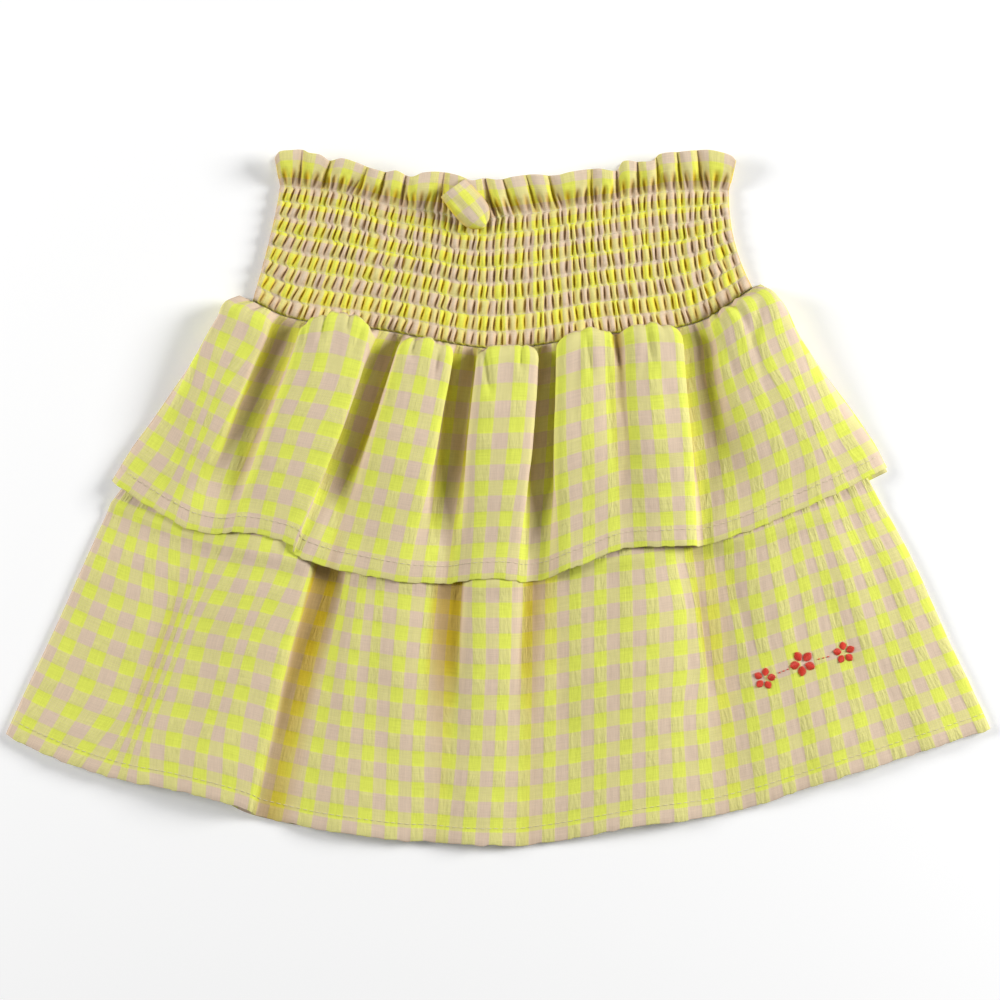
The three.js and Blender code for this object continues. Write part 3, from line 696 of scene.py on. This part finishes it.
# Backs: the cloth lies flat on the surface, so its outer side faces down
backs = {
    "upperStep": 2.4, "upperColumns": 2.2, "upperHeight": 1.0, "upperSeed": 21, "thickness": 0.9,
    "lowerHidden": 14, "lowerShown": 48, "lowerColumns": 2.6, "lowerSink": 0.1, "lowerSeed": 31,
}


def makeUpperBack():
    table = upperLines.copy()
    table[:, 2] = curveAt(upperBackHem, table[:, 1])
    down = hemmedRows(upperLength, upperFront, backs["upperStep"]) / upperLength
    depths = np.repeat(down[:, None], len(table), axis=1)
    heights = np.full(depths.shape, backs["upperHeight"])
    grid, grain, depth, _ = foldSheet(table, table[:, 6], depths, heights, upperBulges, None,
                                      backs["upperColumns"], 0)
    backSheet("upperTierBack", "upper_tier_back", grid, grain, depth, upperLength,
              {**upperFront, "seed": backs["upperSeed"]})


def makeLowerBack():
    shown = np.linspace(0, 1, backs["lowerShown"])
    depths = lowerDepths(backs["lowerHidden"], lowerFront["slope"], shown)
    heights = backHeight(depths) - backs["lowerSink"]
    grid, grain, depth, _ = foldSheet(lowerLines, lowerLines[:, 6], depths, heights, lowerBulges, None,
                                      backs["lowerColumns"], 0)
    backSheet("lowerTierBack", "lower_tier_back", grid, grain, depth, lowerLength,
              {**lowerFront, "seed": backs["lowerSeed"]})


def backSheet(name, node, grid, grain, depth, length, look):
    # both faces of the laid back half: the sheet seen from above and its own thickness below
    relief = tierRelief(grain, depth, length, look)
    grid[:, :, 2] += np.clip(relief, -0.5, 0.05) * 0.5
    v = depth * length
    grainGrid = np.stack([np.broadcast_to(grain, v.shape), v], axis=2)
    piece = sheetObject(name, grid, grainGrid, tierCloth, 0.0, backs["thickness"])
    declare(piece, node, (float(grain[-1]), length))


# Waist: shirred between elastic rows, with a frill of doubled cloth above the top one.
# Hollows of the frill as rimX, footX, depth
frillHollows = np.array([
    (-106, -104, 3), (-93, -94.5, 2.5), (-79.5, -84.5, 5), (-61.9, -66.2, 3.5), (-53.3, -57, 5),
    (-43.7, -46.1, 5), (-25.4, -27.8, 3.5), (-5.5, -1.4, 5), (3, 8, 4), (14, 19, 3.5), (24.5, 28.5, 4.5),
    (45, 45, 3), (57, 57.6, 5), (67, 68, 4), (76, 77.5, 3.5), (86, 88, 3.5), (95.5, 98, 4), (114, 111, 3)])
waist = {
    "left": -117.1, "right": 122.4, "leftCurl": 1.25, "rightCurl": 2.2, "gatherWidth": 3.2, "perGather": 7,
    "rows": 8, "rowsEach": 8, "puff": 2.2, "held": 0.12, "floor": 0.3, "pinch": 0.4, "wander": 0.3,
    "slant": 0.45, "lean": 0.45, "frillCrest": 5.2, "frillPinch": 0.4, "frillFull": 0.6, "frillDeep": 1.3,
    "footRound": 1.2, "rimRound": 0.9, "rimOpen": 0.45, "footGathers": 0.55, "footPuff": 1.7, "pleatX": -12,
    "pleatHalf": 16, "pleatDrop": 1.5, "bandHeight": 64, "frillHeight": 15, "rimRadius": 0.55,
    "thickness": 0.3,
    "frontSeed": 5, "frontGap": 0.4, "frontDrop": 1.1, "frillLift": 2.2,
    "backSeed": 15, "backGap": 0.08, "backDrop": 0.9, "pressed": 2.3, "squeeze": 1.25,
}


def gatherTable():
    # one row per gather: the frill's wave it belongs to, and where it starts and ends in it
    table = []
    for i in range(len(frillHollows) - 1):
        width = frillHollows[i + 1, 1] - frillHollows[i, 1]
        count = max(1, int(round(width / waist["gatherWidth"])))
        table += [(i, k / count, (k + 1) / count) for k in range(count)]
    return table


def waistSheet(shares, seed):
    gathers = gatherTable()
    steps = waist["perGather"]
    g, t = [], []
    for i in range(len(gathers)):
        g += [i] * steps
        t += [k / steps for k in range(steps)]
    g.append(len(gathers) - 1)
    t.append(1.0)
    g, t = np.array(g), np.array(t)
    wave = np.array([gathers[i][0] for i in g])
    inWave = np.array([lerp(gathers[i][1], gathers[i][2], s) for i, s in zip(g, t)])
    across = (g + t) / len(gathers)
    sigma = np.asarray(shares)[:, None]
    band = np.minimum(sigma, 1)
    up = np.clip(sigma - 1, 0, 1)

    place = band * waist["rows"]
    line = np.minimum(np.floor(place), waist["rows"] - 1)
    between = place - line
    puff = np.sin(math.pi * np.clip(between, 0, 1))**0.75 * (sigma < 1)
    size = 0.62 + 0.55 * scatter(g[None, :], line, seed)

    def jitter(k):
        # how far each valley has wandered sideways at the elastic rows, and between them
        edge = np.where((k == 0) | (k == len(gathers)), 0, 1)
        row = np.floor(place - 0.5)
        share = smooth(place - 0.5 - row, 0.4, 0.6)
        offset = lerp(scatter(k, row, seed + 1), scatter(k, row + 1, seed + 1), share) - 0.5
        lean = waist["lean"] * (1 - smooth(k / len(gathers), 0.25, 0.7))
        loose = smooth(between, 0, 0.16) * (1 - smooth(between, 0.84, 1))
        slant = (waist["slant"] * (scatter(k, line, seed + 2) - 0.5) + lean) * (between - 0.5) * loose
        return edge * (offset * 2 * waist["wander"] + slant)

    start, end = jitter(g[None, :]), jitter(g[None, :] + 1)
    warped = t - waist["pinch"] * puff * np.sin(2 * math.pi * t) / (2 * math.pi)
    local = lerp(start, 1 + end, warped)
    bandAcross = (g + local) / len(gathers)

    hollowFrom, hollowTo = frillHollows[wave], frillHollows[np.minimum(wave + 1, len(frillHollows) - 1)]
    frillWarp = inWave - waist["frillPinch"] * np.sin(2 * math.pi * inWave) / (2 * math.pi)
    edges = [lerp(*frillHollows[w:w + 2, 1], a) for w, a, _ in gathers] + [frillHollows[-1, 1]]
    bandFoot = np.interp(bandAcross, np.arange(len(gathers) + 1) / len(gathers), edges)
    frillFoot = lerp(hollowFrom[:, 1], hollowTo[:, 1], frillWarp)
    frillRim = lerp(hollowFrom[:, 0], hollowTo[:, 0], frillWarp)
    free = smooth(up, 0.15, 0.55)
    footX = lerp(bandFoot, frillFoot, free)

    fallen = 1 - smooth(np.abs(footX - waist["pleatX"]) / waist["pleatHalf"], 0.45, 1)
    footY = curveAt(frillFootCurve, footX) - waist["pleatDrop"] * fallen
    seamX = lerp(waist["left"], waist["right"], bandAcross)
    curl = lerp(waist["leftCurl"], waist["rightCurl"], across)
    bandX = lerp(footX, seamX, (1 - band)**curl)
    bandY = lerp(curveAt(seamCurve, seamX) + 0.3, footY, band)
    x = np.where(sigma <= 1, bandX, lerp(footX, frillRim, up))
    y = np.where(sigma <= 1, bandY, lerp(footY, curveAt(frillRimCurve, frillRim), up))

    ridge = ((1 - np.cos(2 * math.pi * t)) / 2)**0.8
    held = waist["held"] * (0.8 + 0.4 * scatter(g[None, :], line, seed + 3))
    gather = waist["floor"] + (held + waist["puff"] * size * puff) * ridge
    # small gathers above the top elastic row
    atFoot = np.sin(math.pi * np.clip(up / waist["footGathers"], 0, 1))
    footSize = 0.5 + scatter(g[None, :], 9, seed + 4)
    gather = gather * (1 - free) + waist["footPuff"] * atFoot * ridge * footSize
    roundness = lerp(waist["footRound"], waist["rimRound"], smooth(up, 0.1, 0.9))
    opening = lerp(1, waist["rimOpen"], smooth(up, 0.25, 1))
    deep = waist["frillDeep"] * lerp(hollowFrom[:, 2], hollowTo[:, 2], inWave)
    sunk = deep * (1 - np.sin(math.pi * inWave)**roundness) * opening
    full = smooth(up, -0.05, waist["frillFull"])
    frill = (waist["frillCrest"] - sunk) * full + 1.3 * free
    wrinkle = 0.16 * waves((g + t) * 2.1, sigma * 9, seed + 5)
    height = gather + frill + wrinkle
    down = (sigma - 1) * np.where(sigma <= 1, waist["bandHeight"], waist["frillHeight"])
    # painted shade: darker in the valleys between the gathers, in the frill's pleat slits and between the
    # small gathers at its foot
    paintedPleatShade = np.maximum(0.8 * opening * (1 - np.sin(math.pi * inWave))**2, atFoot * (1 - ridge))
    paintedShade = np.where(sigma <= 1, (1 - ridge) * puff, paintedPleatShade)
    return np.stack(np.broadcast_arrays(x, y, height), axis=2), down, paintedShade


def waistGrain(grid, down):
    # how far each column is along the cloth, as the mean of the band's rows, and each row down it
    rows = grid[:waist["rows"] * waist["rowsEach"] + 1]
    along = np.concatenate([[0], np.cumsum(np.linalg.norm(np.diff(rows, axis=1), axis=2).mean(axis=0))])
    return np.stack(np.broadcast_arrays(along[None, :], down), axis=2)


def waistShares():
    band = np.linspace(0, 1, waist["rows"] * waist["rowsEach"] + 1)
    frill = 1 + np.concatenate([np.linspace(0.04, 0.4, 7), np.linspace(0.48, 1, 9)])
    return np.concatenate([band, frill])


def withDoubledFrill(grid, grain, paintedShade, drop, towardsZ):
    # over the rim and down the inside of the frill to its foot
    top = grid[-1]
    radius = waist["rimRadius"]
    wrap = [top + np.array([0, radius * math.sin(a), towardsZ * radius * (1 - math.cos(a))])
            for a in turnAngles]
    rows = [len(grid) - 1 - k for k in (2, 5, 8, 11)]
    inside = [grid[r] + np.array([0, 0, towardsZ * drop]) for r in rows]
    rim = grain[-1]
    overRim = [rim + np.array([0, 0.4 * (k + 1)]) for k in range(len(wrap))]
    downInside = [2 * rim * (0, 1) + grain[r] * (1, -1) for r in rows]
    grid = np.concatenate([grid, np.array(wrap), np.array(inside)])
    grain = np.concatenate([grain, np.array(overRim), np.array(downInside)])
    return grid, grain, np.concatenate([paintedShade, np.repeat(paintedShade[-1:], len(wrap) + len(inside), axis=0)])


def makeWaistFront():
    shares = waistShares()
    grid, down, paintedShade = waistSheet(shares, waist["frontSeed"])
    grid[:, :, 2] += waistTop + waist["frontGap"] + smooth(shares, 1, 1.8)[:, None] * waist["frillLift"]
    outer = grid.copy()
    grid, grain, paintedShade = withDoubledFrill(grid, waistGrain(grid, down), paintedShade, waist["frontDrop"], -1)
    piece = sheetObject("waistFront", grid[::-1], grain[::-1], waistCloth, paintedShade[::-1], waist["thickness"])
    return piece, (float(grain[0, -1, 0]), waist["bandHeight"] + 2 * waist["frillHeight"]), outer


def makeWaistBack():
    grid, down, paintedShade = waistSheet(waistShares(), waist["backSeed"])
    pressed = waist["pressed"] * np.tanh(grid[:, :, 2] / waist["pressed"] * waist["squeeze"])
    grid[:, :, 2] = waist["pressed"] + waist["backGap"] - pressed
    grid, grain, paintedShade = withDoubledFrill(grid, waistGrain(grid, down), paintedShade, waist["backDrop"], 1)
    piece = sheetObject("waistBack", grid, grain, waistCloth, paintedShade, waist["thickness"])
    return piece, (float(grain[0, -1, 0]), waist["bandHeight"] + 2 * waist["frillHeight"])


# The pleat of the frill that has fallen forward: a half tube from its rim down to a rounded end
flap = {
    "from": (-21, 148.2), "to": (-6.3, 130.6), "halfWidth": 6.4, "rows": 30, "columns": 24, "roundFrom": 0.68,
    "top": 11.2, "foot": 7.4, "dome": 3.4, "bulge": 0.16, "bend": 0.7, "wrinkle": 0.55, "seed": 8,
    "grainX": 166, "cloth": 24, "clothLength": 23, "paintedEdgeShade": 0.6, "thickness": 0.5,
}


def makeFlap():
    s = np.linspace(0, 1, flap["rows"])[:, None]
    w = np.linspace(-1, 1, flap["columns"])[None, :]
    start, end = np.array(flap["from"]), np.array(flap["to"])
    along = (end - start) / np.linalg.norm(end - start)
    across = np.array([-along[1], along[0]])
    pastStraight = np.maximum(s - flap["roundFrom"], 0) / (1 - flap["roundFrom"])
    rounded = np.sqrt(np.clip(1 - pastStraight**2, 0.02, 1))
    wide = flap["halfWidth"] * (1 + flap["bulge"] * np.sin(math.pi * s)) * rounded
    x = lerp(start[0], end[0], s) + across[0] * wide * w + flap["bend"] * np.sin(2.2 * s + w)
    y = lerp(start[1], end[1], s) + across[1] * wide * w
    dome = flap["dome"] * np.sqrt(np.clip(1 - w**2, 0, 1)) * rounded**0.6
    wrinkle = flap["wrinkle"] * waves(w * 2.3, s * 3, flap["seed"])
    z = lerp(flap["top"], flap["foot"], smooth(s, 0.1, 0.95)) + dome + wrinkle
    grid = np.stack(np.broadcast_arrays(x, y, z), axis=2)
    clothX, clothY = flap["grainX"] + w * flap["cloth"] / 2, s * flap["clothLength"]
    grain = np.stack(np.broadcast_arrays(clothX, clothY), axis=2)
    # painted shade, darker towards the flap's edges
    paintedShade = np.broadcast_to(np.abs(w)**6 * flap["paintedEdgeShade"], (flap["rows"], flap["columns"]))
    return sheetObject("fallenPleat", grid[::-1], grain[::-1], waistCloth, paintedShade[::-1], flap["thickness"])


# Threads: each stitch is a short tapered tube that rises a little out of the cloth
def threadMaterial(name, color):
    material, tree, shader = newMaterial(name)
    place = put(tree, "ShaderNodeTexCoord").outputs["Object"]
    ply = put(tree, "ShaderNodeTexWave", {"Vector": place, "Scale": 900.0, "Distortion": 1.5})
    tone = put(tree, "ShaderNodeTexNoise", {"Vector": place, "Scale": 260.0})
    dark = tuple(c * 0.8 for c in color[:3]) + (1,)
    tree.links.new(blend(tree, tone.outputs[0], dark, color), shader.inputs["Base Color"])
    bump = put(tree, "ShaderNodeBump", {"Strength": 0.35, "Distance": 0.1 * mm, "Height": ply.outputs[1]})
    tree.links.new(bump.outputs[0], shader.inputs["Normal"])
    shader.inputs["Roughness"].default_value = 0.5
    return material


def addStitch(bm, points, radius, sides=5):
    points = [Vector(p) for p in points]
    made = bmesh.ops.create_grid(bm, x_segments=sides, y_segments=len(points) - 1, size=1)["verts"]
    rings = len(points) - 1
    for v in made:
        i = round((v.co.x + 1) / 2 * sides)
        j = round((v.co.y + 1) / 2 * rings)
        forward = (points[min(j + 1, rings)] - points[max(j - 1, 0)]).normalized()
        side = forward.cross(Vector((0, 0, 1))).normalized()
        up = side.cross(forward)
        thick = radius * max(math.sin(math.pi * (j + 0.25) / (rings + 0.5)), 0.3)**0.5
        angle = 2 * math.pi * i / sides
        v.co = (points[j] + side * thick * math.cos(angle) + up * thick * math.sin(angle)) * mm


def threadObject(name, bm, material):
    bmesh.ops.remove_doubles(bm, verts=bm.verts, dist=1e-7)
    bmesh.ops.recalc_face_normals(bm, faces=bm.faces)
    mesh = bpy.data.meshes.new(name)
    bm.to_mesh(mesh)
    bm.free()
    mesh.polygons.foreach_set("use_smooth", np.ones(len(mesh.polygons), bool))
    mesh.materials.append(material)
    return placed(name, mesh)


# Running stitches as length, gap, radius, and how far their ends and middles are above the cloth
stitches = {"hem": (2.3, 1.0, 0.17), "shirring": (1.7, 0.8, 0.16), "lift": 0.1, "arch": 0.16}


def runningStitch(name, lines, kind, material):
    # stitches along lines of points on the cloth, each with the cloth's outward direction at its points
    long, gap, radius = stitches[kind]
    bm = bmesh.new()
    for line, up in lines:
        run = np.concatenate([[0], np.cumsum(np.linalg.norm(np.diff(line, axis=0), axis=1))])
        at = gap
        while at + long < run[-1]:
            share = np.linspace(at, at + long, 5)
            place = np.stack([np.interp(share, run, line[:, k]) for k in range(3)], axis=1)
            lift = np.stack([np.interp(share, run, up[:, k]) for k in range(3)], axis=1)
            arch = stitches["lift"] + stitches["arch"] * np.sin(np.linspace(0, math.pi, 5))
            addStitch(bm, place + lift * arch[:, None], radius)
            at += long + gap
    return threadObject(name, bm, material)


# Embroidery: little flowers in satin stitch, joined by a few running stitches. Flowers as x, y, size, turn
motif = {
    "flowers": ((128, -86, 5.2, 0.2), (146, -78.5, 6.2, 0.9), (166, -73.5, 5.2, 0.5)), "petals": 5,
    "perPetal": 9, "radius": 0.3, "heart": 1.5, "petalHalf": 0.33, "petalRise": 0.35, "lift": 0.12,
    "joins": 3, "joinFrom": 0.36, "joinTo": 0.42, "joinStep": 0.11, "joinRise": 0.15,
}


def makeMotif(cloth, material):
    # the stitches follow the cloth under them
    tree = BVHTree.FromObject(cloth, bpy.context.evaluated_depsgraph_get())

    def onCloth(x, y):
        hit = tree.ray_cast(Vector((x * mm, y * mm, 0.1)), Vector((0, 0, -1)))[0]
        return (x, y, hit.z / mm)

    def stitch(bm, start, end, rise):
        points = []
        for k in range(5):
            x, y, z = onCloth(*lerp(start, end, k / 4))
            points.append((x, y, z + motif["lift"] + rise * math.sin(math.pi * k / 4)))
        addStitch(bm, points, motif["radius"])

    bm = bmesh.new()
    for x, y, size, turn in motif["flowers"]:
        for petal in range(motif["petals"]):
            angle = turn + 2 * math.pi * petal / motif["petals"]
            along = np.array([math.cos(angle), math.sin(angle)])
            aside = np.array([-along[1], along[0]])
            for k in range(motif["perPetal"]):
                out = (k + 0.5) / motif["perPetal"]
                half = motif["petalHalf"] * size * math.sin(math.pi * out)**0.6
                middle = np.array([x, y]) + along * lerp(motif["heart"], size, out)
                stitch(bm, middle + aside * half, middle - aside * half, motif["petalRise"])
    centres = [np.array(flower[:2]) for flower in motif["flowers"]]
    for one, two in zip(centres, centres[1:]):
        for k in range(motif["joins"]):
            a, b = motif["joinFrom"] + k * motif["joinStep"], motif["joinTo"] + k * motif["joinStep"]
            stitch(bm, lerp(one, two, a), lerp(one, two, b), motif["joinRise"])
    return threadObject("flowerEmbroidery", bm, material)


makeUpperBack()
makeLowerBack()
print("made the backs of the tiers")
lowerPiece, lowerFlat, lowerOuter = makeLowerFront()
upperPiece, upperFlat, upperOuter = makeUpperFront(lowerOuter)
print("made the fronts of the tiers")
waistPiece, waistFlat, waistOuter = makeWaistFront()
waistBackPiece, waistBackFlat = makeWaistBack()
flapPiece = makeFlap()
print("made the waist")
paleThread = threadMaterial("paleThread", (0.82, 0.74, 0.52, 1))
redThread = threadMaterial("redThread", (0.83, 0.055, 0.025, 1))
lowerLine = [(lowerOuter[-4], outwards(lowerOuter)[-4])]
upperLine = [(upperOuter[-4], outwards(upperOuter)[-4])]
shirredRows = [k * waist["rowsEach"] for k in range(1, waist["rows"] + 1)]
shirredLines = [(waistOuter[k], -outwards(waistOuter)[k]) for k in shirredRows]
lowerStitches = runningStitch("lowerHemStitches", lowerLine, "hem", paleThread)
upperStitches = runningStitch("upperHemStitches", upperLine, "hem", paleThread)
shirringStitches = runningStitch("shirringStitches", shirredLines, "shirring", paleThread)
flowers = makeMotif(lowerPiece, redThread)
print("made the stitches and the flowers")
declare(lowerPiece, "lower_tier_front", lowerFlat, [lowerStitches, flowers])
declare(upperPiece, "upper_tier_front", upperFlat, [upperStitches])
declare(waistPiece, "waist_front", waistFlat, [flapPiece, shirringStitches])
declare(waistBackPiece, "waist_back", waistBackFlat)

# Floor, lights and camera. Sizes and places in metres, apart from the view's centre and the sensor
stage = {
    "width": 0.48, "distance": 1.6, "centreX": 1.4, "centreY": -0.5, "sensor": 36,
    "lights": (("right", (1.6, 0.45, 0.85), 38), ("left", (-1.6, 0.35, 0.85), 23)), "lightSize": 0.7,
    "floorHalf": 4, "floorDrop": 0.0002, "floorColor": (0.96, 0.96, 0.96, 1), "floorGlow": 0.08, "sky": 0.16,
}
white = (1, 1, 1, 1)


def makeFloor():
    bm = bmesh.new()
    bmesh.ops.create_grid(bm, x_segments=1, y_segments=1, size=stage["floorHalf"])
    mesh = bpy.data.meshes.new("floor")
    bm.to_mesh(mesh)
    bm.free()
    floor = placed("floor", mesh)
    floor.location.z = -stage["floorDrop"]
    material, _, shader = newMaterial("paleFloor")
    shader.inputs["Base Color"].default_value = stage["floorColor"]
    shader.inputs["Roughness"].default_value = 0.9
    shader.inputs["Emission Color"].default_value = white
    shader.inputs["Emission Strength"].default_value = stage["floorGlow"]
    mesh.materials.append(material)


def makeLight(name, place, watts):
    data = bpy.data.lights.new(name, "AREA")
    data.size = stage["lightSize"]
    data.energy = watts
    light = placed(name, data)
    light.location = place
    light.rotation_euler = (Vector((0, 0, 0)) - Vector(place)).to_track_quat("-Z", "Y").to_euler()


makeFloor()
for lightName, lightPlace, watts in stage["lights"]:
    makeLight(lightName, lightPlace, watts)
bpy.context.scene.view_settings.view_transform = "Standard"
world = bpy.data.worlds.new("studio")
world.use_nodes = True
sky = world.node_tree.nodes["Background"]
sky.inputs["Color"].default_value = white
sky.inputs["Strength"].default_value = stage["sky"]
bpy.context.scene.world = world

camera = placed("camera", bpy.data.cameras.new("camera"))
camera.location = (stage["centreX"] * mm, stage["centreY"] * mm, stage["distance"])
camera.data.sensor_width = stage["sensor"]
camera.data.lens = stage["sensor"] * stage["distance"] / stage["width"]
bpy.context.scene.camera = camera
print("made the floor, lights and camera")
